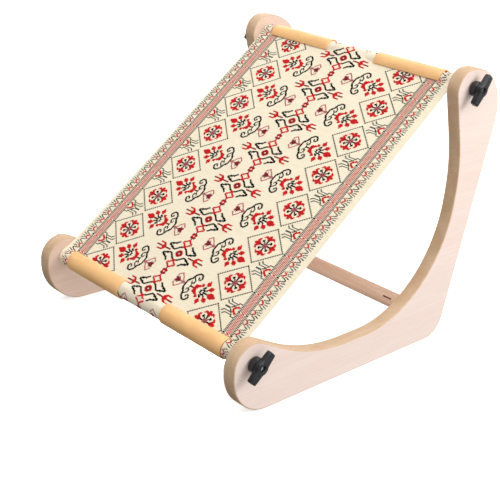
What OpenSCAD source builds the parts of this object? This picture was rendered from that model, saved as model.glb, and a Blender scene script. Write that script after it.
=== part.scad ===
// Tabletop scroll frame for cross-stitch: two boomerang side plates, a crossbar, two cloth rollers
// on threaded studs with T-knobs, and push-fit clips that hold the wound cloth.
// X runs along the rollers, Y from the low front roller to the high back roller, Z is up.
// The plates stand on Z = 0, and the origin is the centre of the whole frame's footprint.

/* [Side plates] */
// Clear width between the two side plates
inner_width = 350; // [330:5:420]
// Thickness of each side plate
plate_thickness = 18; // [16:0.5:22]
// Depth of the blind mortise that takes the crossbar
mortise_depth = 10; // [6:1:12]
// Horizontal distance from the front roller's axis to the back roller's axis
axis_run = 356; // [352:1:358]
// Height of the back roller's axis above the front roller's axis
axis_rise = 288; // [286:1:290]

/* [Crossbar] */
// Diameter of the crossbar
bar_diameter = 22; // [18:1:24]

/* [Rollers] */
// Diameter of each wooden roller
roller_diameter = 20; // [18:0.5:20]
// Width of the saw cut that takes the cloth's edge
slot_width = 3; // [2:0.5:3.5]
// Depth of the saw cut
slot_depth = 6.5; // [5:0.5:7]
// Gap between a roller's end and the side plate
end_gap = 0.25; // [0.2:0.05:0.5]

/* [Threaded studs] */
// Length of a stud inside the roller
stud_grip = 28; // [20:1:40]
// Length of a stud beyond the side plate's outer face
stud_reach = 15.5; // [12:0.5:16]

/* [Knobs] */
// Length of the T-bar
knob_bar_length = 43; // [38:1:50]
// Diameter of the round hub
knob_hub_diameter = 20; // [18:0.5:22]
// Height of a knob's round hub, under its bar
knob_hub_height = 8; // [5:0.5:9]
// Height of the whole knob
knob_height = 16; // [15:0.5:18]
// Angle of the front knobs' bars from the horizontal
front_bar_angle = 47; // [0:1:90]
// Angle of the back knobs' bars from the horizontal
back_bar_angle = 56; // [0:1:90]

/* [Clips] */
// Length of a clip
clip_length = 110; // [60:1:112]
// Distance from the middle of the roller to the inner end of each clip, as they were pushed on
front_left_clip_start = 43.5; // [20:0.5:50]
front_right_clip_start = 40.5; // [20:0.5:50]
back_left_clip_start = 46; // [20:0.5:50]
back_right_clip_start = 39; // [20:0.5:50]
// Wall of a clip
clip_wall = 1.8; // [1.2:0.1:2]
// Half of the angle over which a clip is open
clip_half_opening = 40; // [38:1:44]

/* [Cloth] */
// Width of the cloth
cloth_width = 342; // [320:1:344]
// Thickness of the stretched cloth
cloth_thickness = 0.7; // [0.5:0.1:0.8]
// Thickness of the turns that are wound on a roller
wound_thickness = 1.5; // [0.8:0.1:1.6]
// Height of the stretched cloth over the line between the rollers' axes
cloth_lift = 6.5; // [6:0.1:6.6]

/* [Hidden] */
$fn = 96;
eps = 1;

beech = [0.93, 0.82, 0.72];
beech_pale = [0.97, 0.90, 0.84];
steel = [0.66, 0.67, 0.69];
black = [0.12, 0.12, 0.13];
peach = [0.93, 0.70, 0.45];
cream = [0.96, 0.92, 0.82];

// Axes before centring, as [y, z]
front_axis = [-12, 70.7];
back_axis = front_axis + [axis_run, axis_rise];
bar_axis = [306, 52];

// Corners of a side plate as [y, z, rounding radius], from the front foot round to the front end
plate_corners = [
    [-41, 0, 64],
    [368, 0, 32],
    [back_axis[0] + 83, back_axis[1] + 24.3, 69],
    [back_axis[0] - 42, back_axis[1] + 24.3, 26],
    [350, 252, 240],
    [348, 48, 152],
    [95, 48, 280],
    [-41, 114, 29]];

function unit(v) = v / norm(v);
// Points of the arc of radius r that rounds the corner at p between its neighbours a and b
function corner_arc(a, p, b, r, step = 4) =
    let (u = unit(a - p), v = unit(b - p),
        half = acos(u * v) / 2,
        centre = p + unit(u + v) * r / sin(half),
        from = p + u * r / tan(half) - centre,
        turn_sign = sign(u[0] * v[1] - u[1] * v[0]),
        sweep = -turn_sign * (180 - 2 * half),
        count = ceil(abs(sweep) / step),
        start = atan2(from[1], from[0]))
    [for (i = [0:count]) let (t = start + sweep * i / count) centre + r * [cos(t), sin(t)]];
function flat(c) = [c[0], c[1]];
function rounded_outline(corners) =
    let (n = len(corners))
    [for (i = [0:n - 1]) each corner_arc(flat(corners[(i + n - 1) % n]), flat(corners[i]),
        flat(corners[(i + 1) % n]), corners[i][2])];

plate_outline = rounded_outline(plate_corners);
outline_y = [for (p = plate_outline) p[0]];
// Moves the middle of the plates to Y = 0
centring = -(min(outline_y) + max(outline_y)) / 2;

plate_inner = inner_width / 2;
plate_outer = plate_inner + plate_thickness;
roller_length = inner_width - 2 * end_gap;
cloth_slope = atan2(axis_rise, axis_run);
axis_distance = norm([axis_run, axis_rise]);

// M6 hardware
stud_radius = 3;
thread_depth = 0.5;
running_gap = 0.06;
washer_radius = 6;
washer_thickness = 1.6;
washer_bore = 3.2;
face_gap = 0.1;
nut_across_flats = 10;
nut_thickness = 5;
pocket_gap = 0.05;
knob_bore = 3.5;
bar_end_width = 9;
bar_mid_width = 18;
mortise_gap = 0.05;

wound_radius = roller_diameter / 2 + wound_thickness;
sleeve_gap = 0.05;
clip_inner = wound_radius + 0.35;
clip_outer = clip_inner + clip_wall;
lip_radius = clip_wall / 2 + 0.1;
// The stretched cloth starts where it clears the wound turns
span_margin = sqrt(wound_radius * wound_radius - cloth_lift * cloth_lift) + 0.4;

// Draws along X at the axis p = [y, z], from x = 0 towards +X
module at_axis(p) {
    translate([0, p[0] + centring, p[1]]) children();
}
module along_x() {
    rotate([90, 0, 90]) children();
}
// Mirrors a right-hand piece to the left when side is -1
module on_side(side) {
    if (side > 0) children();
    else mirror([1, 0, 0]) children();
}
module rod_x(r, from, to) {
    translate([from, 0, 0]) along_x() cylinder(r = r, h = to - from);
}
// A turned rod along X with its two ends chamfered
module chamfered_rod_x(r, from, to, chamfer) {
    translate([from, 0, 0]) along_x() rotate_extrude()
        polygon([[0, 0], [r - chamfer, 0], [r, chamfer], [r, to - from - chamfer],
            [r - chamfer, to - from], [0, to - from]]);
}

module side_plate(side) {
    color(beech_pale) on_side(side) difference() {
        translate([plate_inner, centring, 0]) along_x()
            linear_extrude(plate_thickness) polygon(plate_outline);
        for (p = [front_axis, back_axis])
            at_axis(p) rod_x(stud_radius + running_gap, plate_inner - eps, plate_outer + eps);
        at_axis(bar_axis)
            rod_x(bar_diameter / 2 + mortise_gap, plate_inner - eps, plate_inner + mortise_depth + 0.2);
    }
}

module crossbar() {
    half = plate_inner + mortise_depth;
    color(beech) at_axis(bar_axis) chamfered_rod_x(bar_diameter / 2, -half, half, 3);
}

// A roller with a saw cut for the cloth's edge and a blind hole for a stud in each end
module roller(p, slot_angle) {
    half = roller_length / 2;
    color(beech) at_axis(p) difference() {
        chamfered_rod_x(roller_diameter / 2, -half, half, 0.8);
        rotate([slot_angle, 0, 0])
            translate([-half - eps, roller_diameter / 2 - slot_depth, -slot_width / 2])
                cube([roller_length + 2 * eps, slot_depth + eps, slot_width]);
        for (side = [-1, 1]) on_side(side)
            rod_x(stud_radius, half - stud_grip, half + eps);
    }
}

module stud(p, side) {
    color(steel) at_axis(p) on_side(side)
        chamfered_rod_x(stud_radius, roller_length / 2 - stud_grip, plate_outer + stud_reach, thread_depth);
}

module washer(p, side) {
    from = plate_outer + face_gap;
    color(steel) at_axis(p) on_side(side) difference() {
        rod_x(washer_radius, from, from + washer_thickness);
        rod_x(washer_bore, from - eps, from + washer_thickness + eps);
    }
}

// Outline of the T-bar: a wide middle round the bore and narrower rounded ends
module knob_bar_outline() {
    end = knob_bar_length / 2 - bar_end_width / 2;
    hull() {
        circle(d = bar_mid_width, $fn = 48);
        for (s = [-1, 1]) translate([s * end, 0]) circle(d = bar_end_width, $fn = 32);
    }
}

module knob(p, side, bar_angle) {
    base = plate_outer + washer_thickness + 2 * face_gap;
    color(black) at_axis(p) on_side(side) translate([base, 0, 0]) difference() {
        union() {
            rod_x(knob_hub_diameter / 2, 0, knob_hub_height);
            translate([knob_hub_height, 0, 0]) along_x() rotate(bar_angle)
                linear_extrude(knob_height - knob_hub_height) knob_bar_outline();
        }
        rod_x(knob_bore, -eps, knob_height + eps);
        translate([-eps, 0, 0]) along_x()
            cylinder(d = (nut_across_flats + 2 * pocket_gap) / cos(30), h = nut_thickness + eps, $fn = 6);
    }
}

module knob_nut(p, side) {
    base = plate_outer + washer_thickness + 2 * face_gap;
    color(steel) at_axis(p) on_side(side) translate([base + pocket_gap, 0, 0]) difference() {
        along_x() cylinder(d = nut_across_flats / cos(30), h = nut_thickness - 2 * pocket_gap, $fn = 6);
        rod_x(stud_radius + running_gap, -eps, nut_thickness + eps);
    }
}

// Cross-section of a clip, open towards +X, with a round bead along each lip
module clip_section() {
    middle = (clip_inner + clip_outer) / 2;
    reach = 2 * clip_outer;
    difference() {
        circle(r = clip_outer);
        circle(r = clip_inner);
        polygon([[0, 0],
            reach * [cos(clip_half_opening), -sin(clip_half_opening)],
            reach * [cos(clip_half_opening), sin(clip_half_opening)]]);
    }
    for (s = [-1, 1])
        rotate(s * (clip_half_opening + 3)) translate([middle + 0.1, 0]) circle(r = lip_radius, $fn = 32);
}

module clip(p, side, facing, start) {
    color(peach) at_axis(p) on_side(side) translate([start, 0, 0]) along_x() rotate(facing)
        linear_extrude(clip_length) clip_section();
}

module cloth_span() {
    color(cream) at_axis(front_axis) rotate([cloth_slope, 0, 0])
        translate([-cloth_width / 2, span_margin, cloth_lift])
            cube([cloth_width, axis_distance - 2 * span_margin, cloth_thickness]);
}

module cloth_wound(p) {
    color(cream) at_axis(p) difference() {
        rod_x(wound_radius, -cloth_width / 2, cloth_width / 2);
        rod_x(roller_diameter / 2 + sleeve_gap, -cloth_width / 2 - eps, cloth_width / 2 + eps);
    }
}

side_plate(-1);  // side_plate_left
side_plate(1);  // side_plate_right
crossbar();
roller(front_axis, cloth_slope);  // roller_front
roller(back_axis, cloth_slope + 180);  // roller_back
stud(front_axis, -1);  // stud_front_left
stud(front_axis, 1);  // stud_front_right
stud(back_axis, -1);  // stud_back_left
stud(back_axis, 1);  // stud_back_right
washer(front_axis, -1);  // washer_front_left
washer(front_axis, 1);  // washer_front_right
washer(back_axis, -1);  // washer_back_left
washer(back_axis, 1);  // washer_back_right
knob(front_axis, -1, front_bar_angle);  // knob_front_left
knob(front_axis, 1, front_bar_angle);  // knob_front_right
knob(back_axis, -1, back_bar_angle);  // knob_back_left
knob(back_axis, 1, back_bar_angle);  // knob_back_right
knob_nut(front_axis, -1);  // knob_nut_front_left
knob_nut(front_axis, 1);  // knob_nut_front_right
knob_nut(back_axis, -1);  // knob_nut_back_left
knob_nut(back_axis, 1);  // knob_nut_back_right
clip(front_axis, -1, cloth_slope, front_left_clip_start);  // clip_front_left
clip(front_axis, 1, cloth_slope, front_right_clip_start);  // clip_front_right
clip(back_axis, -1, cloth_slope + 180, back_left_clip_start);  // clip_back_left
clip(back_axis, 1, cloth_slope + 180, back_right_clip_start);  // clip_back_right
cloth_span();
cloth_wound(front_axis);  // cloth_wound_front
cloth_wound(back_axis);  // cloth_wound_back
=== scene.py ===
import math

import bmesh
import bpy
import numpy as np
from mathutils import Matrix, Vector


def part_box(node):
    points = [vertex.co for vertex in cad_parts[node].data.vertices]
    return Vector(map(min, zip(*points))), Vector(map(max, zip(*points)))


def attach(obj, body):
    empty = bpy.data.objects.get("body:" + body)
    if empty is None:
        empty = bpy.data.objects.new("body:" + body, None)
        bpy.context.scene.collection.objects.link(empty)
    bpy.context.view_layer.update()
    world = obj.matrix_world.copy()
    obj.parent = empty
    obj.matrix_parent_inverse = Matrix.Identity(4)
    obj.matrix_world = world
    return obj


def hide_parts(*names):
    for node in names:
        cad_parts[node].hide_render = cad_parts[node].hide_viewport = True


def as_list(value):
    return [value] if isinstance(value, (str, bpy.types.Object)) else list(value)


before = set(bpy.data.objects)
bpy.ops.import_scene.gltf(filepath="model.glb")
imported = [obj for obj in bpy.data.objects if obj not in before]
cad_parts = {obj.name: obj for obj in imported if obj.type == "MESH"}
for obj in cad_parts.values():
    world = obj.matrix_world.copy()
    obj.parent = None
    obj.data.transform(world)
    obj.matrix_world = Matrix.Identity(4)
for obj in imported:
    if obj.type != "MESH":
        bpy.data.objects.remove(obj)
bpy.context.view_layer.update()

MM = 0.001
SIDES = {"left": -1, "right": 1}
ENDS = ("front", "back")


# ---------------------------------------------------------------- places read from the frame
def axis_of(node):
    """(y, z) in millimetres of the axis along X that a node lies on, from its box."""
    low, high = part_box(node)
    return np.array(((low.y + high.y) / 2, (low.z + high.z) / 2)) / MM


def radius_of(node):
    """Half of a node's height in millimetres."""
    low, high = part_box(node)
    return (high.z - low.z) / MM / 2


def x_range(node):
    """A node's lowest and highest x in millimetres."""
    low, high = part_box(node)
    return low.x / MM, high.x / MM


AXIS = {end: axis_of("roller_" + end) for end in ENDS}
BAR_AXIS = axis_of("crossbar")
BAR_RADIUS = radius_of("crossbar")
BAR_END = x_range("crossbar")[1]
PLATE_INNER, PLATE_OUTER = x_range("side_plate_right")
STUD_START, STUD_TIP = x_range("stud_front_right")
ROLLER_END = x_range("roller_front")[1]
WASHER = x_range("washer_front_right")
KNOB = x_range("knob_front_right")
SPAN = AXIS["back"] - AXIS["front"]
SPAN_LENGTH = float(np.hypot(*SPAN))
SLOPE = math.atan2(SPAN[1], SPAN[0])
WOUND_RADIUS = radius_of("cloth_wound_front")


def clip_reach(end, key):
    """Distances from the frame's middle to a clip's inner and outer end."""
    return sorted(abs(x) for x in x_range(f"clip_{end}_{key}"))


CLIP_REACH = {(end, key): clip_reach(end, key) for end in ENDS for key in SIDES}


# ---------------------------------------------------------------- materials
def linear(rgb):
    """A display colour from 0 to 255 as Blender's linear colour."""
    parts = [v / 255 for v in rgb]
    return tuple(v / 12.92 if v <= 0.04045 else ((v + 0.055) / 1.055) ** 2.4 for v in parts)


def shade(rgb, factor):
    return tuple(min(1.0, v * factor) for v in linear(rgb)) + (1.0,)


class Nodes:
    """A node tree that is built by short calls."""

    def __init__(self, tree):
        self.tree = tree

    def feed(self, socket, value):
        """Gives an input a value, or links it to an output."""
        if isinstance(value, bpy.types.NodeSocket):
            self.tree.links.new(value, socket)
        else:
            socket.default_value = value

    def add(self, kind, settings=None, inputs=None):
        node = self.tree.nodes.new(kind)
        for key, value in (settings or {}).items():
            setattr(node, key, value)
        for key, value in (inputs or {}).items():
            self.feed(node.inputs[key], value)
        return node

    def math(self, operation, *values):
        inputs = dict(enumerate(values))
        return self.add("ShaderNodeMath", {"operation": operation}, inputs).outputs[0]


class Graph(Nodes):
    """A material's nodes."""

    def __init__(self, name, roughness, specular=0.5):
        self.material = bpy.data.materials.new(name)
        self.material.use_nodes = True
        super().__init__(self.material.node_tree)
        self.shader = self.tree.nodes["Principled BSDF"]
        self.put("Roughness", roughness)
        self.put("Specular IOR Level", specular)

    def put(self, socket, value):
        self.feed(self.shader.inputs[socket], value)

    def place(self, scale=(1, 1, 1), rotation=(0, 0, 0)):
        """The point on the piece, turned and scaled, for a solid texture."""
        source = self.add("ShaderNodeTexCoord").outputs["Object"]
        inputs = {"Vector": source, "Rotation": rotation, "Scale": scale}
        return self.add("ShaderNodeMapping", {}, inputs).outputs["Vector"]

    def noise(self, vector, scale=1.0, detail=2.0, rough=0.5, distortion=0.0):
        inputs = {"Vector": vector, "Scale": scale, "Detail": detail}
        inputs.update({"Roughness": rough, "Distortion": distortion})
        return self.add("ShaderNodeTexNoise", {}, inputs).outputs["Fac"]

    def span(self, value, low, high, to_low=0.0, to_high=1.0):
        """value from low..high to to_low..to_high, smoothly, held at both ends."""
        inputs = {"Value": value, "From Min": low, "From Max": high}
        inputs.update({"To Min": to_low, "To Max": to_high})
        settings = {"interpolation_type": "SMOOTHSTEP"}
        return self.add("ShaderNodeMapRange", settings, inputs).outputs["Result"]

    def mix(self, factor, a, b):
        node = self.add("ShaderNodeMix", {"data_type": "RGBA"}, {0: factor, 6: a, 7: b})
        return node.outputs[2]

    def bump(self, height, strength, depth):
        inputs = {"Height": height, "Strength": strength, "Distance": depth}
        self.put("Normal", self.add("ShaderNodeBump", {}, inputs).outputs["Normal"])


def beech(name, pale, deep, grain="Y", fleck=0.35):
    """Steamed beech: soft bands and short dark flecks along the grain, with fine open pores."""
    g = Graph(name, 0.55, 0.35)

    def stretched(along, across):
        return g.place([along if axis == grain else across for axis in "XYZ"])

    bands = g.span(g.noise(stretched(4, 55), 1, 3, 0.55, 0.6), 0.3, 0.7)
    streaks = g.span(g.noise(stretched(14, 420), 1, 2, 0.6), 0.35, 0.72, 0.0, 0.5)
    flecks = g.span(g.noise(stretched(190, 1250), 1, 1, 0.4), 0.62, 0.7, 0.0, fleck)
    colour = g.mix(g.math("MULTIPLY", bands, 0.8), shade(pale, 1), shade(deep, 1))
    colour = g.mix(streaks, colour, shade(deep, 0.96))
    colour = g.mix(flecks, colour, shade(deep, 0.62))
    g.put("Base Color", colour)
    g.put("Roughness", g.span(streaks, 0.0, 0.5, 0.5, 0.62))
    g.bump(g.noise(stretched(120, 1500), 1, 2, 0.5), 0.18, 0.0002)
    return g.material


def moulded(name, colour, roughness, variation=0.06, grain=0.12):
    """Injection-moulded plastic: faint flow marks in the colour, and a fine satin texture."""
    g = Graph(name, roughness, 0.5)
    flow = g.span(g.noise(g.place((25, 60, 60)), 1, 2, 0.5, 0.8), 0.3, 0.7)
    low, high = shade(colour, 1 - variation), shade(colour, 1 + variation)
    g.put("Base Color", g.mix(flow, low, high))
    fine = g.noise(g.place(), 900, 2, 0.5)
    g.put("Roughness", g.span(fine, 0.3, 0.7, roughness - 0.06, roughness + 0.08))
    g.bump(fine, grain, 0.0001)
    return g.material


def zinc(name):
    """Bright zinc plating with faint turning marks and dull patches."""
    g = Graph(name, 0.3)
    g.put("Metallic", 1.0)
    patches = g.span(g.noise(g.place(), 220, 3, 0.6), 0.35, 0.7)
    g.put("Base Color", g.mix(patches, shade((214, 216, 218), 1), shade((176, 178, 180), 1)))
    rings = g.noise(g.place((2400, 60, 60)), 1, 1, 0.5)
    g.put("Roughness", g.span(patches, 0.0, 1.0, 0.22, 0.38))
    g.bump(rings, 0.12, 0.0001)
    return g.material


PLATE_FACE = beech("beech_face", (244, 224, 213), (241, 217, 205), "Y", 0.1)
# Painted shade: the left plate's faces wear a darker, warmer copy of the face wood, standing in for the
# shade the cloth casts on that plate.
LEFT_PLATE_SHADED = beech("beech_left_plate_painted_shade", (238, 210, 192), (230, 198, 178), "Y", 0.15)
PLATE_RIM = beech("beech_rim", (221, 191, 160), (205, 169, 133), "Y", 0.3)
ROD_WOOD = beech("beech_rod", (246, 212, 190), (236, 190, 162), "X", 0.3)
# Painted shade: dark brown wood for the inside of the crossbar's slit, standing in for the shade in that
# narrow cut.
ROD_SLIT_SHADE = beech("beech_slit_painted_shade", (150, 96, 62), (112, 66, 40), "X", 0.3)
PEACH_PLASTIC = moulded("peach_plastic", (254, 197, 134), 0.42)
BLACK_PLASTIC = moulded("black_plastic", (17, 16, 22), 0.28, 0.2, 0.1)
ZINC = zinc("zinc_plate")


# ---------------------------------------------------------------- camera, light and floor
CAMERA_AZIMUTH = 0.7553
CAMERA_ELEVATION = 0.3844
CAMERA_ROLL = 0.1050
CAMERA_PLACE = (0.8880, -0.9623, 0.6290)
CAMERA_LENS = 73.233


def make_camera():
    """A perspective camera at the photo's viewing angle, turned a little about its own axis."""
    az, el, roll = CAMERA_AZIMUTH, CAMERA_ELEVATION, CAMERA_ROLL
    back = Vector((math.sin(az) * math.cos(el), -math.cos(az) * math.cos(el), math.sin(el)))
    right = (-back).cross(Vector((0, 0, 1))).normalized()
    up = right.cross(-back)
    across = math.cos(roll) * right + math.sin(roll) * up
    upward = -math.sin(roll) * right + math.cos(roll) * up
    data = bpy.data.cameras.new("camera")
    data.lens = CAMERA_LENS
    data.sensor_width = 36.0
    data.clip_start = 0.05
    cam = bpy.data.objects.new("camera", data)
    bpy.context.scene.collection.objects.link(cam)
    turn = Matrix((across, upward, back)).transposed().to_4x4()
    cam.matrix_world = Matrix.Translation(CAMERA_PLACE) @ turn
    bpy.context.scene.camera = cam


def area_light(name, place, target, size, power, colour=(1, 1, 1)):
    """A square light aimed at a point. The camera doesn't see it."""
    data = bpy.data.lights.new(name, "AREA")
    data.size = size
    data.energy = power
    data.color = colour
    light = bpy.data.objects.new(name, data)
    light.location = place
    aim = Vector(target) - Vector(place)
    light.rotation_euler = aim.to_track_quat("-Z", "Y").to_euler()
    light.visible_camera = False
    bpy.context.scene.collection.objects.link(light)
    return light


SKY_TOWARDS = (0.62, 0.20, 0.74)
SKY_MIDDLE = 0.55
SKY_SWING = 0.50


def make_sky():
    """White to the camera. As a light it is strongest from above and from the right."""
    world = bpy.data.worlds.new("studio")
    world.use_nodes = True
    sky = Nodes(world.node_tree)
    background = sky.tree.nodes["Background"]
    background.inputs["Color"].default_value = (1, 1, 1, 1)
    direction = sky.add("ShaderNodeTexCoord").outputs["Generated"]
    inputs = {0: direction, 1: Vector(SKY_TOWARDS).normalized()}
    towards = sky.add("ShaderNodeVectorMath", {"operation": "DOT_PRODUCT"}, inputs)
    graded = sky.math("MULTIPLY_ADD", towards.outputs["Value"], SKY_SWING, SKY_MIDDLE)
    to_camera = sky.add("ShaderNodeLightPath").outputs["Is Camera Ray"]
    sky.feed(background.inputs["Strength"], sky.math("MAXIMUM", to_camera, graded))
    bpy.context.scene.world = world


def make_light():
    """A pale sky, four soft lights, and a low narrow one that reaches the crossbar."""
    bpy.context.scene.view_settings.view_transform = "Standard"
    make_sky()
    area_light("key", (1.2, 0.6, 0.95), (0, 0, 0.15), 0.7, 9)
    area_light("top", (0.0, -0.4, 1.9), (0, 0, 0.15), 1.2, 11)
    area_light("front", (0.75, -1.15, 0.7), (0, 0, 0.15), 0.3, 0.7)
    area_light("back", (-1.2, 1.1, 1.0), (0, 0, 0.15), 0.9, 5)
    low = area_light("low", (0.02, -0.14, 0.035), (0.02, 0.12, 0.05), 0.24, 0.17)
    low.data.shape, low.data.size_y = "RECTANGLE", 0.05


def make_floor():
    """A plain pale floor that sends no light back up to the frame."""
    mesh = bpy.data.meshes.new("floor")
    r = 4.0
    mesh.from_pydata([(-r, -r, 0), (r, -r, 0), (r, r, 0), (-r, r, 0)], [], [(0, 1, 2, 3)])
    floor = bpy.data.objects.new("floor", mesh)
    floor.visible_diffuse = False
    floor.visible_glossy = False
    bpy.context.scene.collection.objects.link(floor)
    g = Graph("floor", 0.9, 0.1)
    g.put("Base Color", (0.95, 0.95, 0.95, 1))
    g.put("Emission Color", (1, 1, 1, 1))
    g.put("Emission Strength", 0.55)
    mesh.materials.append(g.material)


make_camera()
make_light()
make_floor()


# ---------------------------------------------------------------- pieces from meshes
def loft(rings, ends="cap"):
    """Points and faces of a skin over rings of equal length. ends is cap, join or open."""
    rings = np.asarray(rings, float)
    count, size = rings.shape[:2]
    index = np.arange(count * size).reshape(count, size)
    if ends == "join":
        index = np.vstack([index, index[:1]])
    a, b = index[:-1], index[1:]
    quads = np.stack([a, np.roll(a, -1, 1), np.roll(b, -1, 1), b], -1).reshape(-1, 4)
    faces = quads.tolist()
    if ends == "cap":
        faces += [index[0][::-1].tolist(), index[-1].tolist()]
    return rings.reshape(-1, 3), faces


def polar(angles, radius):
    """Points in a plane at given angles and radii."""
    return np.stack([radius * np.cos(angles), radius * np.sin(angles)], 1)


def circle(centre, radius, steps=48):
    t = np.arange(steps) * 2 * math.pi / steps
    return np.asarray(centre) + polar(t, radius)


def spun(points, turn):
    """Points in a plane, turned about its origin."""
    c, s = math.cos(turn), math.sin(turn)
    return points @ np.array(((c, s), (-s, c)))


def at_x(outline, x):
    return np.column_stack([np.full(len(outline), x), outline])


def turned(profile, centre, steps):
    """Rings about the axis along X at centre, one for each (x, radius)."""
    return [at_x(circle(centre, r, steps), x) for x, r in profile]


def make_mesh(name, points, faces, materials, slots=None):
    """A smooth mesh from points in millimetres. slots gives each face's material."""
    mesh = bpy.data.meshes.new(name)
    mesh.from_pydata((np.asarray(points) * MM).tolist(), [], faces)
    for material in materials:
        mesh.materials.append(material)
    if slots is not None:
        mesh.polygons.foreach_set("material_index", np.asarray(slots, np.int32))
    mesh.polygons.foreach_set("use_smooth", np.ones(len(faces), bool))
    return mesh


def add_piece(name, body, shape, materials, nodes=(), slots=None, crease=40):
    """A mesh piece that rides on a body and stands for its CAD nodes."""
    mesh = make_mesh(name, *shape, materials, slots)
    bm = bmesh.new()
    bm.from_mesh(mesh)
    bmesh.ops.recalc_face_normals(bm, faces=bm.faces)
    bm.to_mesh(mesh)
    bm.free()
    mesh.set_sharp_from_angle(angle=math.radians(crease))
    mesh.update()
    return place_piece(name, body, mesh, nodes)


def place_piece(name, body, mesh, nodes=()):
    """Adds a piece that rides on a body, and hides the CAD nodes that it replaces."""
    obj = bpy.data.objects.new(name, mesh)
    bpy.context.scene.collection.objects.link(obj)
    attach(obj, body)
    if nodes:
        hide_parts(*nodes)
    return obj


def mirrored(rings, side):
    return np.asarray(rings, float) * np.array((side, 1, 1))


def finish_node(node, material):
    """Gives a CAD node that stays in view its material."""
    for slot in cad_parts[node].material_slots:
        slot.material = material


# ---------------------------------------------------------------- side plates
PLATE_CORNERS = (
    (-41, 0, 64),
    (368, 0, 32),
    (427, 383, 69),
    (302, 383, 26),
    (350, 252, 240),
    (348, 48, 152),
    (95, 48, 280),
    (-41, 114, 29),
)
FRONT_AXIS_DRAWN = np.array((-12.0, 70.7))
EDGE_ROUND = 1.4
BORE_RADIUS = 3.06
MORTISE_RADIUS = 11.05
MORTISE_DEPTH = 10.2


def corner_arc(a, p, b, radius, step):
    """Points of the arc that rounds the corner at p between its neighbours a and b."""
    u, v = (a - p) / np.linalg.norm(a - p), (b - p) / np.linalg.norm(b - p)
    half = math.acos(float(u @ v)) / 2
    middle = (u + v) / np.linalg.norm(u + v)
    centre = p + middle * radius / math.sin(half)
    start = p + u * radius / math.tan(half) - centre
    sweep = -math.copysign(math.pi - 2 * half, u[0] * v[1] - u[1] * v[0])
    count = max(2, math.ceil(abs(sweep) / step))
    first = math.atan2(start[1], start[0])
    angles = first + sweep * np.arange(count + 1) / count
    return centre + polar(angles, radius)


def plate_outline(step=math.radians(2.0)):
    """The plate's outline as [y, z] points in the shared frame."""
    corners = np.array([c[:2] for c in PLATE_CORNERS], float)
    radii = [c[2] for c in PLATE_CORNERS]
    arcs = [
        corner_arc(corners[i - 1], corners[i], corners[(i + 1) % len(corners)], radii[i], step)
        for i in range(len(corners))
    ]
    return np.vstack(arcs) + AXIS["front"] - FRONT_AXIS_DRAWN


def inward_normals(outline):
    """Unit normals of a counter-clockwise outline, towards its inside."""
    along = np.roll(outline, -1, 0) - np.roll(outline, 1, 0)
    along /= np.linalg.norm(along, axis=1)[:, None]
    return np.stack([-along[:, 1], along[:, 0]], 1)


def rounded_profile(low, high, radius, steps=5):
    """(inset, x) of an edge that is rounded at both faces."""
    t = np.linspace(0, math.pi / 2, steps)
    first = [(radius * (1 - math.sin(a)), low + radius * (1 - math.cos(a))) for a in t]
    return first + [(inset, low + high - x) for inset, x in reversed(first)]


class Solid:
    """A mesh that is put together from skins whose open rims are filled at the end."""

    def __init__(self, side):
        self.bm, self.side = bmesh.new(), side

    def ring(self, points):
        return [self.bm.verts.new((p[0] * self.side, p[1], p[2])) for p in points]

    def skin(self, rings, material=0):
        """Quads between rings. Returns the first and the last ring's edges."""
        made = [self.ring(r) for r in rings]
        for a, b in zip(made, made[1:]):
            for i in range(len(a)):
                j = (i + 1) % len(a)
                face = self.bm.faces.new((a[i], a[j], b[j], b[i]))
                face.material_index, face.smooth = material, True
        return [self.rim(made[0]), self.rim(made[-1])]

    def rim(self, ring):
        return [self.bm.edges.get((ring[i - 1], ring[i])) for i in range(len(ring))]

    def fill(self, edges, material=0):
        made = bmesh.ops.triangle_fill(self.bm, use_beauty=True, edges=edges, normal=(1, 0, 0))
        for face in made["geom"]:
            if isinstance(face, bmesh.types.BMFace):
                face.material_index, face.smooth = material, False

    def mesh(self, name, materials):
        bmesh.ops.recalc_face_normals(self.bm, faces=self.bm.faces)
        bmesh.ops.scale(self.bm, vec=(MM, MM, MM), verts=self.bm.verts)
        mesh = bpy.data.meshes.new(name)
        self.bm.to_mesh(mesh)
        self.bm.free()
        for material in materials:
            mesh.materials.append(material)
        return mesh


def make_plate(name, side):
    outline = plate_outline()
    inward = inward_normals(outline)
    profile = rounded_profile(PLATE_INNER, PLATE_OUTER, EDGE_ROUND)
    solid = Solid(side)
    rims = [solid.skin([at_x(outline + inward * inset, x) for inset, x in profile], 1)]
    for end in ENDS:
        bore = [(PLATE_INNER, 0.25), (PLATE_INNER + 0.25, 0), (PLATE_OUTER - 0.25, 0), (PLATE_OUTER, 0.25)]
        rims.append(solid.skin([at_x(circle(AXIS[end], BORE_RADIUS + g), x) for x, g in bore], 1))
    floor = PLATE_INNER + MORTISE_DEPTH
    mortise = [at_x(circle(BAR_AXIS, MORTISE_RADIUS, 72), x) for x in (PLATE_INNER, floor)]
    mouth, bottom = solid.skin(mortise, 1)
    solid.fill(bottom, 1)
    solid.fill([e for inner, _ in rims for e in inner] + mouth)
    solid.fill([e for _, outer in rims for e in outer])
    # The left plate gets the darker copy of the face wood, which is painted shade.
    mesh = solid.mesh(name, [PLATE_FACE if side > 0 else LEFT_PLATE_SHADED, PLATE_RIM])
    place_piece(name, "frame", mesh, [name])


for key, sign in SIDES.items():
    make_plate("side_plate_" + key, sign)


# ---------------------------------------------------------------- crossbar, rollers and hardware
SLIT_FROM, SLIT_TO = 141.5, 154.5
SLIT_ANGLE = math.radians(153)
SLIT_HALF_WIDTH = math.radians(4.2)
SLIT_DEPTH = 1.2


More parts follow.
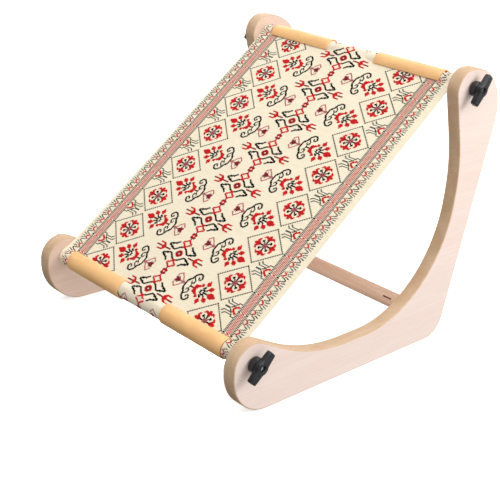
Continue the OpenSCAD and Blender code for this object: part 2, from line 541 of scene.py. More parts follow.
def make_crossbar():
    """A turned dowel with rounded ends, and the short slit near its right end, whose walls and floor are
    painted dark brown as shade.
    """
    steps, r = 96, BAR_RADIUS
    t = np.linspace(0, math.pi / 2, 6)
    nose = [(-BAR_END + 3 * (1 - math.cos(a)), r - 3 * (1 - math.sin(a))) for a in t]
    middle = [(x, r) for x in np.linspace(-175, 140, 8)]
    cut = [(x, r) for x in (SLIT_FROM - 0.5, SLIT_FROM, SLIT_TO, SLIT_TO + 0.5)]
    profile = nose + middle + cut + [(-x, q) for x, q in reversed(nose)]
    rings = np.array(turned(profile, BAR_AXIS, steps))
    angle = np.arange(steps) * 2 * math.pi / steps
    inside = np.abs(angle - SLIT_ANGLE) < SLIT_HALF_WIDTH
    for ring in rings:
        if SLIT_FROM <= ring[0, 0] <= SLIT_TO:
            ring[inside, 1:] = BAR_AXIS + (ring[inside, 1:] - BAR_AXIS) * (1 - SLIT_DEPTH / r)
    points, faces = loft(rings)
    # Painted shade: faces that reach down into the slit take the dark wood.
    deep = np.hypot(*(points[:, 1:] - BAR_AXIS).T) < r - SLIT_DEPTH / 2
    deep &= (points[:, 0] > SLIT_FROM - 1) & (points[:, 0] < SLIT_TO + 1)
    slots = [int(len(f) == 4 and deep[f].any()) for f in faces]
    add_piece("crossbar", "frame", (points, faces), [ROD_WOOD, ROD_SLIT_SHADE], ["crossbar"], slots)


def make_stud(name, body, centre, side):
    """A threaded rod: smooth where it is glued into the roller, and M6 x 1 beyond it."""
    steps, pitch, depth, r = 24, 1.0, 0.55, 3.0
    shank = [STUD_START, STUD_START + 0.5, ROLLER_END - 1.0]
    threaded = np.arange(ROLLER_END - 0.75, STUD_TIP + 0.01, pitch / 8)
    threaded[-1] = STUD_TIP
    angle = np.arange(steps) / steps
    rings = []
    for x in [*shank, *threaded]:
        radius = np.full(steps, r - depth if x < ROLLER_END - 0.9 else r)
        if x >= ROLLER_END - 0.9:
            phase = (x / pitch + angle) % 1.0
            radius -= depth * (0.5 + 0.5 * np.cos(2 * math.pi * phase))
        radius = np.minimum(radius, r - depth + 1.2 * (STUD_TIP - x))
        rings.append(at_x(centre + polar(angle * 2 * math.pi, radius), x))
    add_piece(name, body, loft(mirrored(rings, side)), [ZINC], [name], crease=50)


def make_washer(name, body, centre, side):
    low, high, bore, r, e = *WASHER, 3.25, 6.0, 0.22
    profile = [(low + e, bore), (high - e, bore), (high, bore + e), (high, r - 2 * e), (high - e, r)]
    profile += [(low + e, r), (low, r - 2 * e), (low, bore + e)]
    rings = mirrored(turned(profile, centre, 48), side)
    add_piece(name, body, loft(rings, "join"), [ZINC], [name], crease=50)


KNOB_ANGLE = {"front": math.radians(47), "back": math.radians(56)}
ARM_REACH = 21.5
ARM_END_HALF = 5.1
ARM_ROOT_HALF = 7.4
BOSS_RADIUS = 9.0
HUB_RADIUS = 10.0
HUB_HEIGHT = 8.0
POCKET_DEPTH = 5.0
KNOB_BORE = 3.5
POCKET_ACROSS_FLATS = 10.1
# The T-bar's layers: height above the knob's foot, and how far the outline is drawn in there
BAR_LAYERS = (
    (8.2, 1.3), (8.6, 0.35), (9.1, 0.0), (13.0, 0.1),
    (14.9, 0.2), (15.1, 0.3), (15.95, 1.2), (16.0, 1.5),
)
BAR_TOP = 16


def quarter_bar():
    """One quarter of the T-bar's outline, from the end's middle round to the boss's side."""
    corner = 1.8
    lean = math.atan2(ARM_ROOT_HALF - ARM_END_HALF, ARM_REACH)
    t = np.linspace(0, math.pi / 2 - lean, 6)
    end = np.array((ARM_REACH - corner, ARM_END_HALF - corner)) + polar(t, corner)
    rise = (ARM_ROOT_HALF - ARM_END_HALF) / ARM_REACH
    inwards = np.arange(ARM_REACH, 0, -0.05)
    meet = next(p for p in inwards if (ARM_ROOT_HALF - rise * p) ** 2 + p * p < BOSS_RADIUS**2)
    side = [(p, ARM_ROOT_HALF - rise * p) for p in np.linspace(ARM_REACH - corner, meet + 0.8, 5)[1:]]
    first = math.atan2(ARM_ROOT_HALF - rise * meet, meet)
    a = np.linspace(first + 0.06, math.pi / 2, 8)
    return np.vstack([[(ARM_REACH, 0)], end[1:], side, polar(a, BOSS_RADIUS)])


def bar_outline():
    """The T-bar's whole outline, from its quarter."""
    q = quarter_bar()
    half = np.vstack([q, (q * (-1, 1))[::-1][1:]])
    return np.vstack([half, (half * (1, -1))[::-1][1:-1]])


def hexagon_reach(angles, across):
    """Radius of a hexagon at each angle, from its width across flats."""
    turn = (angles + math.pi / 6) % (math.pi / 3) - math.pi / 6
    return across / 2 / np.cos(turn)


def make_knob(name, body, end, side):
    """A T-knob: round hub with a nut pocket, and a blunt bar across it with a through bore."""
    bar = bar_outline()
    inward = inward_normals(bar)
    angles = np.arctan2(bar[:, 1], bar[:, 0])
    low, high = KNOB
    round_layer = [(0.0, 9.5), (0.5, HUB_RADIUS), (7.2, HUB_RADIUS), (7.9, 9.4), (HUB_HEIGHT + 0.2, 8.6)]
    layers = [(low + h, polar(angles, r)) for h, r in round_layer]
    layers += [(low + h * (high - low) / BAR_TOP, bar + inward * inset) for h, inset in BAR_LAYERS]
    bore = [(high, 4.4), (high - 0.7, 3.7), (high - 1.5, KNOB_BORE), (low + POCKET_DEPTH, KNOB_BORE)]
    layers += [(x, polar(angles, r)) for x, r in bore]
    turn = KNOB_ANGLE[end]
    hexagon = polar(angles, hexagon_reach(angles + turn, POCKET_ACROSS_FLATS))
    layers += [(low + POCKET_DEPTH, hexagon), (low, hexagon)]
    rings = [at_x(AXIS[end] + spun(points, turn), x) for x, points in layers]
    shape = loft(mirrored(rings, side), "join")
    add_piece(name, body, shape, [BLACK_PLASTIC], [name], crease=35)


make_crossbar()
for end in ENDS:
    finish_node("roller_" + end, ROD_WOOD)
    for key, sign in SIDES.items():
        make_stud(f"stud_{end}_{key}", f"{end}_roller", AXIS[end], sign)
        make_washer(f"washer_{end}_{key}", f"{end}_{key}_washer", AXIS[end], sign)
        make_knob(f"knob_{end}_{key}", f"{end}_{key}_knob", end, sign)
        finish_node(f"knob_nut_{end}_{key}", ZINC)


# ---------------------------------------------------------------- clips
CLIP_INNER = 12.15
CLIP_OUTER = 13.65
LIP_ANGLE = math.radians(43)
LIP_RADIUS = 0.9
CLIP_FACING = {"front": SLOPE, "back": SLOPE + math.pi}


def clip_section():
    """The clip's cross-section, open towards angle 0, with a round bead along each lip."""
    middle = (CLIP_INNER + CLIP_OUTER) / 2
    t = np.linspace(LIP_ANGLE + 0.05, 2 * math.pi - LIP_ANGLE - 0.05, 72)
    outer, inner = polar(t, CLIP_OUTER), polar(t[::-1], CLIP_INNER)

    def bead(angle, first, last):
        centre = middle * np.array((math.cos(angle), math.sin(angle)))
        a = angle + np.linspace(first, last, 11)
        return centre + polar(a, LIP_RADIUS)

    low_bead = bead(-LIP_ANGLE, -0.45, math.pi + 0.45)
    high_bead = bead(LIP_ANGLE, -math.pi - 0.45, 0.45)
    return np.vstack([outer, low_bead, inner, high_bead])


def make_clip(name, end, key, side):
    """A push-fit clip: an open round section with softened ends, along the roller."""
    section = clip_section()
    inward = inward_normals(section)
    low, high = CLIP_REACH[end, key]
    e = 0.35
    profile = [(e, low), (e * 0.3, low + e * 0.3), (0, low + e)]
    profile += [(0, x) for x in np.linspace(low + 8, high - 8, 9)]
    profile += [(0, high - e), (e * 0.3, high - e * 0.3), (e, high)]
    turn = CLIP_FACING[end]
    rings = [at_x(AXIS[end] + spun(section + inward * inset, turn), x) for inset, x in profile]
    shape = loft(mirrored(rings, side))
    add_piece(name, f"{end}_{key}_clip", shape, [PEACH_PLASTIC], [name], crease=50)


for end in ENDS:
    for key, sign in SIDES.items():
        make_clip(f"clip_{end}_{key}", end, key, sign)


# ---------------------------------------------------------------- the cloth's shape
# Points on the cloth are (x, u, n): u runs up the slope from the front roller's axis and n stands
# square to it. s is the distance along the cloth, below 0 on the front roll and past the span's
# length on the back roll.
CLOTH_EDGES = (-174.3, 172.0)
CLOTH_WIDTH = CLOTH_EDGES[1] - CLOTH_EDGES[0]
THICKNESS = 0.25
ROLL_TOP = WOUND_RADIUS + 0.08 + THICKNESS
FREE_HEIGHT = ROLL_TOP
DIPPED_HEIGHT = 6.85
DIP_MARGIN = 8.0
DIP_RAMP = 8.0
RIPPLE_TERMS = 40
RIPPLE_REACH = 1.8
TAIL = 3.0
TAIL_DROP = 0.07


def clip_ends(x, end):
    """The inner and the outer end of the clip on x's side of the frame, at each x."""
    left, right = (CLIP_REACH[end, key] for key in SIDES)
    return [np.where(x < 0, left[i], right[i]) for i in (0, 1)]


def in_clip_zone(x, end):
    """1 where a clip presses the cloth down, 0 where the cloth is free, with smooth ramps."""
    inner, outer = clip_ends(x, end)
    x = np.abs(x)
    t = np.minimum(x - (inner - DIP_MARGIN), (outer + DIP_MARGIN) - x) / DIP_RAMP + 1
    t = np.clip(t, 0, 1)
    return t * t * (3 - 2 * t)


def ripple_terms(end):
    """Mean and cosine terms of the cloth's height along a roller."""
    x = np.linspace(*CLOTH_EDGES, 1400)
    height = FREE_HEIGHT + (DIPPED_HEIGHT - FREE_HEIGHT) * in_clip_zone(x, end)
    phase = (x - CLOTH_EDGES[0]) / CLOTH_WIDTH * math.pi
    terms = [2 * float(np.mean(height * np.cos(m * phase))) for m in range(1, RIPPLE_TERMS + 1)]
    return float(np.mean(height)), terms


RIPPLES = {end: ripple_terms(end) for end in ENDS}


def span_height(x, u):
    """Height of a taut membrane whose two ends are held at the clips' and rolls' heights."""
    phase = (x - CLOTH_EDGES[0]) / CLOTH_WIDTH * math.pi
    height = 0.0
    for end, away in (("front", u), ("back", SPAN_LENGTH - u)):
        mean, terms = RIPPLES[end]
        height = height + mean * (1 - away / SPAN_LENGTH)
        for m, size in enumerate(terms, 1):
            reach = m * math.pi / CLOTH_WIDTH / RIPPLE_REACH
            decay = np.sinh(reach * (SPAN_LENGTH - away)) / math.sinh(reach * SPAN_LENGTH)
            height = height + size * np.cos(m * phase) * decay
    return height


def span_point(x, s):
    """The stretched cloth's top face, with its tails laid round both rolls."""
    x, s = np.broadcast_arrays(np.asarray(x, float), np.asarray(s, float))
    u = np.clip(s, 0, SPAN_LENGTH)
    near = np.minimum(u, SPAN_LENGTH - u)
    on_roll = np.sqrt(np.maximum(ROLL_TOP**2 - near**2, 0))
    n = np.maximum(span_height(x, u), on_roll)
    n = np.where(near < 0.01, np.maximum(n, ROLL_TOP), n)
    past = np.maximum(-s, s - SPAN_LENGTH)
    angle = np.maximum(past, 0) / ROLL_TOP
    thin = ROLL_TOP - TAIL_DROP * np.clip(past / TAIL, 0, 1)
    u = u + np.sign(s - SPAN_LENGTH / 2) * thin * np.sin(angle)
    n = np.where(past > 0, thin * np.cos(angle), n)
    return np.stack([x, u, n], -1)


def to_frame(points):
    """(x, u, n) points in the shared frame, in millimetres."""
    x, u, n = np.moveaxis(np.asarray(points), -1, 0)
    y = AXIS["front"][0] + u * math.cos(SLOPE) - n * math.sin(SLOPE)
    z = AXIS["front"][1] + u * math.sin(SLOPE) + n * math.cos(SLOPE)
    return np.stack([x, y, z], -1)


TURNS = 3.4
TURN_PITCH = 0.33
ROLL_MEAN = WOUND_RADIUS - TURNS * TURN_PITCH / 2


def roll_point(x, s, end, inset=0.0):
    """The wound cloth's outer face. s runs away from the span, from the line where it leaves the roll."""
    x, s = np.broadcast_arrays(np.asarray(x, float), np.asarray(s, float))
    angle = s / ROLL_MEAN
    radius = WOUND_RADIUS - TURN_PITCH * angle / (2 * math.pi) - inset
    away = -1 if end == "front" else 1
    u = (0 if end == "front" else SPAN_LENGTH) + away * radius * np.sin(angle)
    return np.stack([x, u, radius * np.cos(angle)], -1)


def unit(v):
    """Vectors scaled to length 1."""
    return v / np.linalg.norm(v, axis=-1)[..., None]


def surface_frame(point, x, s, step=0.15):
    """Place, unit vectors along x and s, and the upward normal of point(x, s)."""
    across = unit(point(x + step, s) - point(x - step, s))
    along = unit(point(x, s + step) - point(x, s - step))
    normal = unit(np.cross(across, along))
    return point(x, s), across, along, normal


# ---------------------------------------------------------------- cloth material and pieces
CELL_X = 1.15
PERIOD = 60.9
PERIOD_CELLS = 58
CELL_S = PERIOD / PERIOD_CELLS
FIRST_ROW = 13.5


def woven(name):
    """Even-weave cotton: one soft square of threads a stitch, with a small hole at each corner."""
    g = Graph(name, 0.85, 0.2)
    g.put("Sheen Weight", 0.25)
    g.put("Sheen Roughness", 0.5)
    place = g.add("ShaderNodeAttribute", {"attribute_name": "weave"}).outputs["Vector"]
    split = g.add("ShaderNodeSeparateXYZ", {}, {0: place})
    waves = [
        g.math("COSINE", g.math("MULTIPLY", split.outputs[i], 2 * math.pi)) for i in (0, 1)
    ]
    holes = g.span(g.math("ADD", *waves), 1.1, 2.0)
    ribs = g.math("COSINE", g.math("MULTIPLY", split.outputs[0], 8 * math.pi))
    picks = g.math("COSINE", g.math("MULTIPLY", split.outputs[1], 8 * math.pi))
    threads = g.math("MULTIPLY", ribs, picks)
    drawn_out = g.add("ShaderNodeMapping", {}, {"Vector": place, "Scale": (0.05, 0.6, 1)})
    slubs = g.noise(drawn_out.outputs[0], 1, 3, 0.6)
    base = g.mix(g.span(slubs, 0.35, 0.7), shade((249, 237, 213), 1), shade((243, 229, 199), 1))
    base = g.mix(g.math("MULTIPLY", holes, 0.42), base, shade((190, 165, 120), 1))
    g.put("Base Color", base)
    height = g.math("SUBTRACT", g.math("MULTIPLY", threads, 0.25), holes)
    g.bump(height, 0.5, 0.0002)
    return g.material


CANVAS = woven("canvas")


def sheet_mesh(name, top, bottom, weave):
    """A closed thin sheet from two grids of points, with its place in the weave at each point."""
    rows, columns = top.shape[:2]
    index = np.arange(rows * columns).reshape(rows, columns)
    under = index + rows * columns

    def quads(grid):
        parts = (grid[:-1, :-1], grid[:-1, 1:], grid[1:, 1:], grid[1:, :-1])
        return np.stack([p.ravel() for p in parts], -1)

    loop = np.concatenate([index[0], index[1:, -1], index[-1, -2::-1], index[-2:0:-1, 0]])
    after = np.roll(loop, -1)
    rim = np.stack([loop, loop + rows * columns, after + rows * columns, after], -1)
    faces = np.vstack([quads(index), quads(under)[:, ::-1], rim])
    points = np.vstack([top.reshape(-1, 3), bottom.reshape(-1, 3)])
    mesh = make_mesh(name, points, faces.tolist(), [CANVAS])
    places = np.zeros((rows * columns, 3))
    places[:, :2] = weave.reshape(-1, 2)
    layer = mesh.attributes.new("weave", "FLOAT_VECTOR", "POINT")
    layer.data.foreach_set("vector", np.vstack([places, places]).ravel())
    mesh.set_sharp_from_angle(angle=math.radians(60))
    return mesh


def weave_place(x, s):
    """Stitch columns and rows at a point, so that the holes fall at the stitches' corners."""
    return np.stack([(x - pattern_middle(s)) / CELL_X, (s - FIRST_ROW) / CELL_S], -1)


def pattern_middle(s):
    """x of the pattern's middle: the cloth is pinned a little askew, as in the photo."""
    return -2.25 - 0.0105 * (s - FIRST_ROW)


def make_span():
    """The stretched cloth as one thin sheet, finer near the rollers."""
    near = np.concatenate([np.linspace(-TAIL, 0, 7), np.arange(0.75, 24, 0.75)])
    middle = np.linspace(24, SPAN_LENGTH - 24, 110)
    s = np.concatenate([near, middle, (SPAN_LENGTH - near)[::-1]])[:, None]
    x = np.linspace(*CLOTH_EDGES, 190)[None, :]
    x, s = np.broadcast_arrays(x, s)
    top = span_point(x, s)
    _, _, _, normal = surface_frame(span_point, x, s)
    gap = THICKNESS - 0.2 * np.clip(np.maximum(-s, s - SPAN_LENGTH) / TAIL, 0, 1)
    bottom = top - normal * gap[..., None]
    mesh = sheet_mesh("cloth_span_sheet", to_frame(top), to_frame(bottom), weave_place(x, s))
    return place_piece("cloth_span_sheet", "frame", mesh, ["cloth_span"])


def make_roll(end):
    """The turns wound on a roller: one thin sheet in a spiral."""
    length = TURNS * 2 * math.pi * ROLL_MEAN
    s = np.linspace(0, length, int(TURNS * 72))[:, None]
    x = np.linspace(*CLOTH_EDGES, 30)[None, :]
    x, s = np.broadcast_arrays(x, s)
    name = f"cloth_roll_{end}"
    outside = -s if end == "front" else s + SPAN_LENGTH
    outer, inner = roll_point(x, s, end), roll_point(x, s, end, THICKNESS)
    if end == "front":
        outer, inner, x, outside = outer[::-1], inner[::-1], x[::-1], outside[::-1]
    mesh = sheet_mesh(name, to_frame(outer), to_frame(inner), weave_place(x, outside))
    piece = place_piece(name, f"{end}_roller", mesh, [f"cloth_wound_{end}"])
    return piece, length


# ---------------------------------------------------------------- the stitched chart
# One quarter of the repeat: columns from the middle outwards, rows from a medallion's line (v = 0)
# to a tulip's line (v = 29). Mirroring it both ways gives the whole pattern.
HALF_COLUMNS = 145
HALF_ROWS = PERIOD_CELLS // 2
RED, WINE, PINK, BLACK, GREY = 1, 2, 3, 4, 5
THREADS = {
    RED: (216, 26, 30),
    WINE: (138, 34, 46),
    PINK: (196, 112, 116),
    BLACK: (5, 6, 9),
    GREY: (72, 80, 76),
}


class Chart:
    """A grid of thread numbers. Motifs are drawn from a medallion's or a tulip's line."""

    def __init__(self):
        self.cells = np.zeros((HALF_COLUMNS, HALF_ROWS), int)
        self.a = (np.arange(HALF_COLUMNS) + 0.5)[:, None]
        self.v = (np.arange(HALF_ROWS) + 0.5)[None, :]
        self.flipped = False

    def from_tulip(self, flipped=True):
        self.flipped = flipped
        return self

    def rows(self):
        return HALF_ROWS - self.v if self.flipped else self.v

    def mark(self, mask, thread):
        self.cells[np.broadcast_to(mask, self.cells.shape)] = thread

    def line(self, thread, *points, skip=0):
        """A line one stitch wide. skip leaves out every second stitch."""
        for (a0, v0), (a1, v1) in zip(points, points[1:]):
            steps = max(1, round(3 * math.hypot(a1 - a0, v1 - v0)))
            for k in range(steps + 1):
                self.stitch(thread, a0 + (a1 - a0) * k / steps, v0 + (v1 - v0) * k / steps, skip)

    def stitch(self, thread, a, v, skip=0):
        i, j = math.floor(a), math.floor(v)
        i, j = (-1 - i if i < 0 else i), (-1 - j if j < 0 else j)
        if self.flipped:
            j = HALF_ROWS - 1 - j
        if 0 <= i < HALF_COLUMNS and 0 <= j < HALF_ROWS and not (skip and i % 2):
            self.cells[i, j] = thread

    def stroke(self, thread, width, *points):
        for (a0, v0), (a1, v1) in zip(points, points[1:]):
            da, dv = a1 - a0, v1 - v0
            t = ((self.a - a0) * da + (self.rows() - v0) * dv) / (da * da + dv * dv)
            t = np.clip(t, 0, 1)
            away = np.hypot(self.a - a0 - t * da, self.rows() - v0 - t * dv)
            self.mark(away <= width / 2, thread)

    def blob(self, thread, a, v, reach_a, reach_v, power=2):
        x, y = np.abs(self.a - a) / reach_a, np.abs(self.rows() - v) / reach_v
        self.mark(x**power + y**power <= 1, thread)

    def drop(self, thread, tail, head, radius):
        """A drop that swells from its tail to a round head."""
        for t in np.linspace(0, 1, 12):
            a, v = (tail[k] + (head[k] - tail[k]) * t for k in (0, 1))
            self.blob(thread, a, v, 0.45 + radius * t, 0.45 + radius * t)


def draw_medallion(c):
    """Two facing birds' heads round a small rosette, with a red trident beside them."""
    c.from_tulip(False)
    c.stroke(BLACK, 2.1, (2, 9.6), (4.6, 8.4), (9.5, 3.3), (13, 2.7))
    c.stroke(BLACK, 2.1, (13, 2.8), (14.6, 4.9), (16.2, 4.1), (17.8, 6.3), (19.2, 5.6), (21, 7.4))
    crest = ((21, 7.6), (18.2, 9.8), (16.6, 8.8), (14.8, 11.4), (13.4, 10.6), (12.2, 13.4), (10.4, 14.6))
    c.stroke(BLACK, 2.1, *crest)
    c.blob(RED, 0, 0, 5.4, 5.4, 1.3)
    c.blob(WINE, 0, 0, 3.8, 3.8, 1.6)
    c.cells[0, 0] = 0
    c.stroke(WINE, 1.6, (15.8, 0), (23, 0))
    c.stroke(RED, 4.6, (25.8, 0), (27.4, 0))
    c.stroke(RED, 2.8, (25.4, 1.6), (27.8, 4.8))
    c.stroke(RED, 2.0, (27.5, 5.1), (33.6, 5.1))
    c.stroke(RED, 1.8, (27, 0), (32, 0))
    c.stroke(WINE, 1.6, (32, 0), (37, 0))


def draw_middle(c):
    """Hollow diamonds and small rosettes down the middle line."""
    c.from_tulip(False)
    c.stroke(RED, 2.2, (0, 21.8), (6.4, 16.4), (0, 11.4))
    c.blob(RED, 0, 10.2, 3.0, 1.8, 1.2)
    c.stroke(RED, 1.2, (0, 22), (0, 25))
    c.from_tulip()
    c.stroke(WINE, 1.7, (0, 4.4), (3.6, 2.2), (3.4, 1.4))
    c.stroke(RED, 1.6, (0, 2.4), (1.8, 1.4), (2.6, 0))


def draw_leaf(c):
    c.from_tulip()
    c.stroke(PINK, 1.5, (34, 0.3), (30.5, 2.5), (29, 5.5), (26.5, 8), (24.5, 9.8), (22.3, 8), (20.8, 5.6))
    c.stroke(PINK, 1.4, (31.5, 0), (28.5, 0))
    c.drop(WINE, (28.4, 0), (24.4, 0), 2.3)
    for column, rows in ((21.5, 2.5), (22.5, 3.5), (24.5, 4.5)):
        c.line(WINE, (column, 0.5), (column, rows))
    c.stroke(PINK, 1.4, (20.6, 1.5), (20.8, 3.5))


def draw_scroll(c):
    c.from_tulip()
    c.stroke(BLACK, 2.4, (36, 0), (36, 5), (39, 9), (40.6, 11.5), (40.9, 14.5))
    c.stroke(BLACK, 2.0, (40.9, 14.5), (43, 17.3), (45.5, 19.2), (48, 19.2), (50.2, 17), (50.8, 14))
    c.stroke(BLACK, 1.5, (50.8, 14), (50, 11.8), (48.3, 11), (47, 12.6), (46.6, 14.6))
    c.stroke(BLACK, 1.6, (41, 12), (43.6, 10.2), (45.4, 8), (45.2, 5.2))
    c.stroke(BLACK, 1.3, (45.2, 5.2), (43.4, 4), (41.4, 4.6), (41.2, 6.4))
    c.stroke(BLACK, 1.5, (43.2, 3.6), (43.4, 0))
    c.stroke(BLACK, 1.3, (43.4, 0), (46, 0))
    c.stroke(WINE, 1.3, (46, 0), (49, 0))


def draw_tulip(c):
    """A crescent that holds a black calyx, with five petals round it."""
    c.from_tulip()
    c.stroke(RED, 4.8, (51, 0), (51.3, 3.4))
    c.stroke(RED, 3.4, (51.6, 3.8), (55, 5.6))
    c.stroke(RED, 2.1, (55, 5.8), (58.4, 7.2), (58.6, 8.6), (57, 9.2))
    c.stroke(BLACK, 2.2, (60.4, 0), (60.8, 2.2), (62.4, 3.2), (64.2, 2.2), (64.4, 0))
    c.cells[61:64, HALF_ROWS - 2 :] = 0
    c.stroke(BLACK, 1.3, (58.4, 1.2), (60, 1.6))
    c.stroke(BLACK, 1.5, (64, 0), (70.5, 0))
    c.stroke(BLACK, 1.7, (64.2, 2.6), (67.2, 4.0))
    c.stroke(BLACK, 1.7, (62.4, 4.4), (63, 7))
    c.stroke(BLACK, 1.2, (60.4, 4.4), (61.6, 6))
    c.drop(RED, (70.4, 0), (75.6, 0), 3.7)
    c.stroke(RED, 4.6, (76, 0), (79, 0))
    c.stroke(RED, 1.6, (79, 0), (81.8, 0))
    c.drop(RED, (67.6, 5.0), (70.8, 7.8), 2.5)
    c.stroke(RED, 1.4, (72, 9), (73.2, 10))
    c.blob(RED, 63.9, 12.2, 2.9, 3.3, 1.8)
    c.stroke(RED, 1.3, (63.9, 15), (63.9, 16.4))


ROSETTE_COLUMN = 90
DIAMOND_HALF = 26


def draw_diamond(c):
    """A dotted diamond round a rosette with four arms and eight curled petals."""
    c.from_tulip(False)
    for k in range(0, DIAMOND_HALF + 1):
        thread = GREY if k % 2 else BLACK
        for row in (DIAMOND_HALF - k, DIAMOND_HALF - 1 - k)[k % 2 :]:
            c.stitch(thread, ROSETTE_COLUMN + k, row)
            c.stitch(thread, ROSETTE_COLUMN - 1 - k, row)
    for side in (-1, 1):
        def at(*points):
            return [(ROSETTE_COLUMN + side * a, v) for a, v in points]

        c.stroke(RED, 2.9, *at((9.8, 2.0), (11.4, 4.2), (10.9, 5.6)))
        c.stroke(RED, 1.6, *at((10.9, 6.0), (9.4, 6.9)))
        c.stroke(RED, 2.9, *at((2.0, 10.2), (4.4, 11.6), (5.7, 11.0)))
        c.stroke(RED, 1.6, *at((6.0, 11.0), (6.9, 9.8)))
        c.stroke(RED, 3.8, *at((8, 0), (12.4, 0)))
        c.stroke(RED, 2.0, *at((12, 0), (14.6, 0)))
        c.stroke(WINE, 2.2, *at((6, 0), (8, 0)))
        c.stroke(BLACK, 1.9, *at((3.4, 0), (6.4, 0)))
        c.blob(BLACK, *at((5.4, 5.2))[0], 1.8, 1.8, 1.5)
        c.stroke(BLACK, 1.6, *at((2.6, 3.1), (4, 4.4)))
    c.stroke(RED, 3.8, *at((0, 8.6), (0, 12.4)))
    c.stroke(RED, 2.0, *at((0, 12), (0, 14.4)))
    c.stroke(WINE, 2.4, *at((0, 6), (0, 8.4)))
    c.stroke(BLACK, 2.1, *at((0, 3.6), (0, 6.4)))
    c.blob(PINK, ROSETTE_COLUMN, 0, 3.4, 3.4, 2)
    c.blob(WINE, ROSETTE_COLUMN, 0, 2.3, 2.3, 1.4)
    c.blob(PINK, ROSETTE_COLUMN, 0, 1.1, 1.1, 1)


def draw_chevron(c):
    """A red arrowhead inside the stripes' edge, with grey lashes that fan inwards."""
    c.from_tulip()
    c.stroke(RED, 2.4, (110.8, 0), (113.2, 2.6), (116.4, 4.9))
    c.line(BLACK, (106, 0.5), (108, 1.5), (111, 4.5), (113, 7.5), (114, 9.5), (117, 9.5))
    c.line(GREY, (99, 0.5), (106, 0.5))
    c.line(GREY, (111, 4.5), (108, 4.5), (101, 4.5), (98, 7.5))
    c.line(GREY, (113, 7.5), (104, 7.5), (101, 10.5))


# The border's dashes: columns, thread, and whether they lie on even or odd rows
DASHES = (
    (118, 121, BLACK, 0),
    (121, 124, PINK, 1),
    (124, 127, RED, 0),
    (127, 130, PINK, 1),
    (130, 133, BLACK, 0),
)


def draw_border(c):
    """Stripes of short dashes, hearts in a row, and a fringe of thin whiskers."""
    for first, last, thread, shift in DASHES:
        c.cells[first:last, shift::2] = thread
    c.from_tulip(False)
    for middle in (HALF_ROWS / 4, HALF_ROWS * 3 / 4):
        for side in (-1, 1):
            draw_heart(c, middle, side)


def draw_heart(c, v, side):
    """Half a heart that points outwards, with the whiskers that fan out round it."""
    for thread, *places in (
        (PINK, (138, 0.4), (136, 2.4), (134, 3.4), (133, 2.4)),
        (RED, (137, 0.4), (134, 3.4)),
        (GREY, (140, 0), (146, 0)),
        (GREY, (139, 2.3), (145, 4.2)),
        (GREY, (136, 4.2), (142, 6.6)),
    ):
        c.line(thread, *((a + 0.5, v + side * away) for a, away in places))


MOTIFS = (
    draw_medallion, draw_middle, draw_leaf, draw_scroll,
    draw_tulip, draw_diamond, draw_chevron, draw_border,
)


def make_chart():
    """One quarter of the pattern's repeat. thread_at() mirrors it."""
    chart = Chart()
    for draw in MOTIFS:
        draw(chart)
    return chart.cells


CHART = make_chart()


def thread_at(column, row):
    """Thread numbers at whole stitch columns and rows, counted from the middle and the first row."""
    i = np.where(column < 0, -1 - column, column)
    j = row % PERIOD_CELLS
    j = np.where(j < HALF_ROWS, j, PERIOD_CELLS - 1 - j)
    inside = i < HALF_COLUMNS
    return np.where(inside, CHART[np.minimum(i, HALF_COLUMNS - 1), j], 0)


# ---------------------------------------------------------------- stitches
SHADES = (0.86, 1.0, 1.14)
LEG_HALF_WIDTH = 0.41
LEG_REACH = 1.12
LEG_HEIGHT = 0.17
OVER = 0.12


def thread_material(number, rgb, factor):
    """Stranded cotton: the fibres' noise drives how much sheen shows, over one dyed colour."""
    g = Graph(f"thread_{number}_{int(factor * 100)}", 0.8, 0.15)
    g.put("Base Color", shade(rgb, factor))
    fibres = g.noise(g.place(), 2600, 2, 0.6)
    g.put("Sheen Weight", g.span(fibres, 0.35, 0.7, 0.0, 0.08))
    return g.material


THREAD_MATERIALS = [
    thread_material(number, rgb, factor) for number, rgb in THREADS.items() for factor in SHADES
]


def leg(direction, low, high):
    """Points and faces of one plump thread across a stitch, in cell units (a, b) and height."""
    a, b = CELL_X / 2, direction * CELL_S / 2
    along = np.array((a, b)) / math.hypot(a, b)
    side = np.array((-along[1], along[0])) * LEG_HALF_WIDTH
    points = [(-LEG_REACH * a, -LEG_REACH * b, -0.06)]
    for t in (-0.7, 0.7):
        centre = np.array((a, b)) * t
        points += [(*(centre + side), low), (*(centre - side), low), (*centre, high)]
    points.append((LEG_REACH * a, LEG_REACH * b, -0.06))
    faces = [(0, 1, 3), (0, 3, 2), (0, 2, 1), (7, 6, 4), (7, 5, 6), (7, 4, 5)]
    faces += [(1, 4, 6), (1, 6, 3), (2, 3, 6), (2, 6, 5), (1, 2, 5), (1, 5, 4)]
    return np.array(points), np.array(faces)


def back_leg():
    """The thread's short run on the underside, along the slope."""
    b, low = CELL_S / 2, -THICKNESS
    points = [(0, -b, low + 0.05), (0.28, 0, low), (-0.28, 0, low), (0, 0, low - 0.16), (0, b, low + 0.05)]
    faces = [(0, 1, 2), (0, 3, 1), (0, 2, 3), (4, 2, 1), (4, 1, 3), (4, 3, 2)]
    return np.array(points), np.array(faces)


def stitch_template(with_back):
    parts = [leg(1, 0.0, LEG_HEIGHT), leg(-1, OVER - 0.04, LEG_HEIGHT + OVER)]
    if with_back:
        parts.append(back_leg())
    points, faces, start = [], [], 0
    for p, f in parts:
        points.append(p)
        faces.append(f + start)
        start += len(p)
    return np.vstack(points), np.vstack(faces)


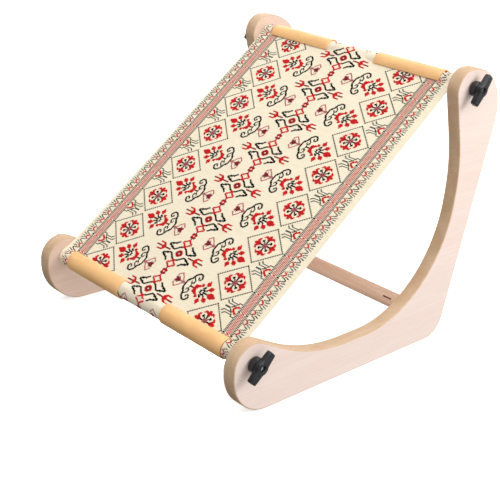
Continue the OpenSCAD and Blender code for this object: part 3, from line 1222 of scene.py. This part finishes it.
def make_stitches(name, body, placed, column, row, with_back, sunk=0.0):
    """One piece that holds a closed cross of thread for each stitch."""
    centre, across, along, normal = placed
    points, faces = stitch_template(with_back)
    dice = (column * 73856093) ^ (row * 19349663) ^ 0x5BD1E995
    swell = 1 + 0.10 * (((dice >> 5) % 17) / 8 - 1)
    offset = points[None, :, 0, None] * across[:, None] + points[None, :, 1, None] * along[:, None]
    offset = offset + (points[None, :, 2] * swell[:, None] - sunk)[..., None] * normal[:, None]
    co = to_frame(centre[:, None] + offset).reshape(-1, 3)
    index = (faces[None] + (np.arange(len(centre)) * len(points))[:, None, None]).reshape(-1, 3)
    thread = thread_at(column, row)
    tone = (dice >> 9) % len(SHADES)
    slots = np.repeat((thread - 1) * len(SHADES) + tone, len(faces))
    mesh = make_mesh(name, co, index.tolist(), THREAD_MATERIALS, slots)
    return place_piece(name, body, mesh)


def stitched_cells(low, high):
    """Columns and rows of the stitches between two distances along the cloth, and their places."""
    rows = np.arange(math.ceil((low - FIRST_ROW) / CELL_S), math.floor((high - FIRST_ROW) / CELL_S))
    columns = np.arange(-HALF_COLUMNS, HALF_COLUMNS)
    column, row = (grid.ravel() for grid in np.meshgrid(columns, rows))
    stitched = thread_at(column, row) > 0
    column, row = column[stitched], row[stitched]
    s = FIRST_ROW + (row + 0.5) * CELL_S
    x = pattern_middle(s) + (column + 0.5) * CELL_X
    inside = (x > CLOTH_EDGES[0] + 1) & (x < CLOTH_EDGES[1] - 1)
    return column[inside], row[inside], x[inside], s[inside]


SPAN_PIECES = 6
HIDDEN_UNDER_CLIP = 9.0
CLIP_SLIDE = 5.5
ROLL_SUNK = 0.08
STITCH_MARGIN = 0.3
CLIP_OPENING_HALF = math.radians(45)


def under_clip(x, end):
    """True where a clip covers the roll wherever it has slid."""
    inner, outer = clip_ends(x, end)
    return (np.abs(x) > inner + CLIP_SLIDE) & (np.abs(x) < outer - CLIP_SLIDE)


def make_span_stitches():
    """Stitches on the stretched part and its tails, in strips, left out where the clips always hide them."""
    column, row, x, s = stitched_cells(STITCH_MARGIN - TAIL, SPAN_LENGTH + TAIL - STITCH_MARGIN)
    keep = ~(under_clip(x, "front") & (s < HIDDEN_UNDER_CLIP))
    keep &= ~(under_clip(x, "back") & (s > SPAN_LENGTH - HIDDEN_UNDER_CLIP))
    column, row, x, s = (v[keep] for v in (column, row, x, s))
    edges = np.quantile(x, np.linspace(0, 1, SPAN_PIECES + 1))
    strip = np.clip(np.searchsorted(edges, x, "right") - 1, 0, SPAN_PIECES - 1)
    made = []
    for k in range(SPAN_PIECES):
        part = strip == k
        placed = surface_frame(span_point, x[part], s[part])
        name = f"stitches_span_{k + 1}"
        made.append(make_stitches(name, "frame", placed, column[part], row[part], True))
    return made


def make_roll_stitches(end):
    """Stitches on a roll's outer turn, left out where a clip covers them."""
    turn = 2 * math.pi * ROLL_MEAN - 2 * STITCH_MARGIN
    tail = TAIL - STITCH_MARGIN
    low, high = (-turn, -tail) if end == "front" else (SPAN_LENGTH + tail, SPAN_LENGTH + turn)
    column, row, x, s = stitched_cells(low, high)
    out = -s if end == "front" else s - SPAN_LENGTH
    angle = out / ROLL_MEAN
    in_opening = np.abs((angle - 1.5 * math.pi + math.pi) % (2 * math.pi) - math.pi) < CLIP_OPENING_HALF
    keep = ~under_clip(x, end) | in_opening
    column, row, x, s = (v[keep] for v in (column, row, x, s))

    def point(x, s):
        return roll_point(x, -s if end == "front" else s - SPAN_LENGTH, end)

    placed = surface_frame(point, x, s)
    return make_stitches(f"stitches_roll_{end}", f"{end}_roller", placed, column, row, False, ROLL_SUNK)


def make_cloth():
    """The stretched part, the two rolls and their stitches. Each roll's flat size is worked out but not
    used.
    """
    span = make_span()
    width = CLOTH_WIDTH * MM
    stitches = make_span_stitches()
    for end in ENDS:
        roll, wound = make_roll(end)
        stitches = make_roll_stitches(end)
        size, roller = (width, wound * MM), ["roller_" + end]
        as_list(roller)


make_cloth()

bpy.context.view_layer.update()
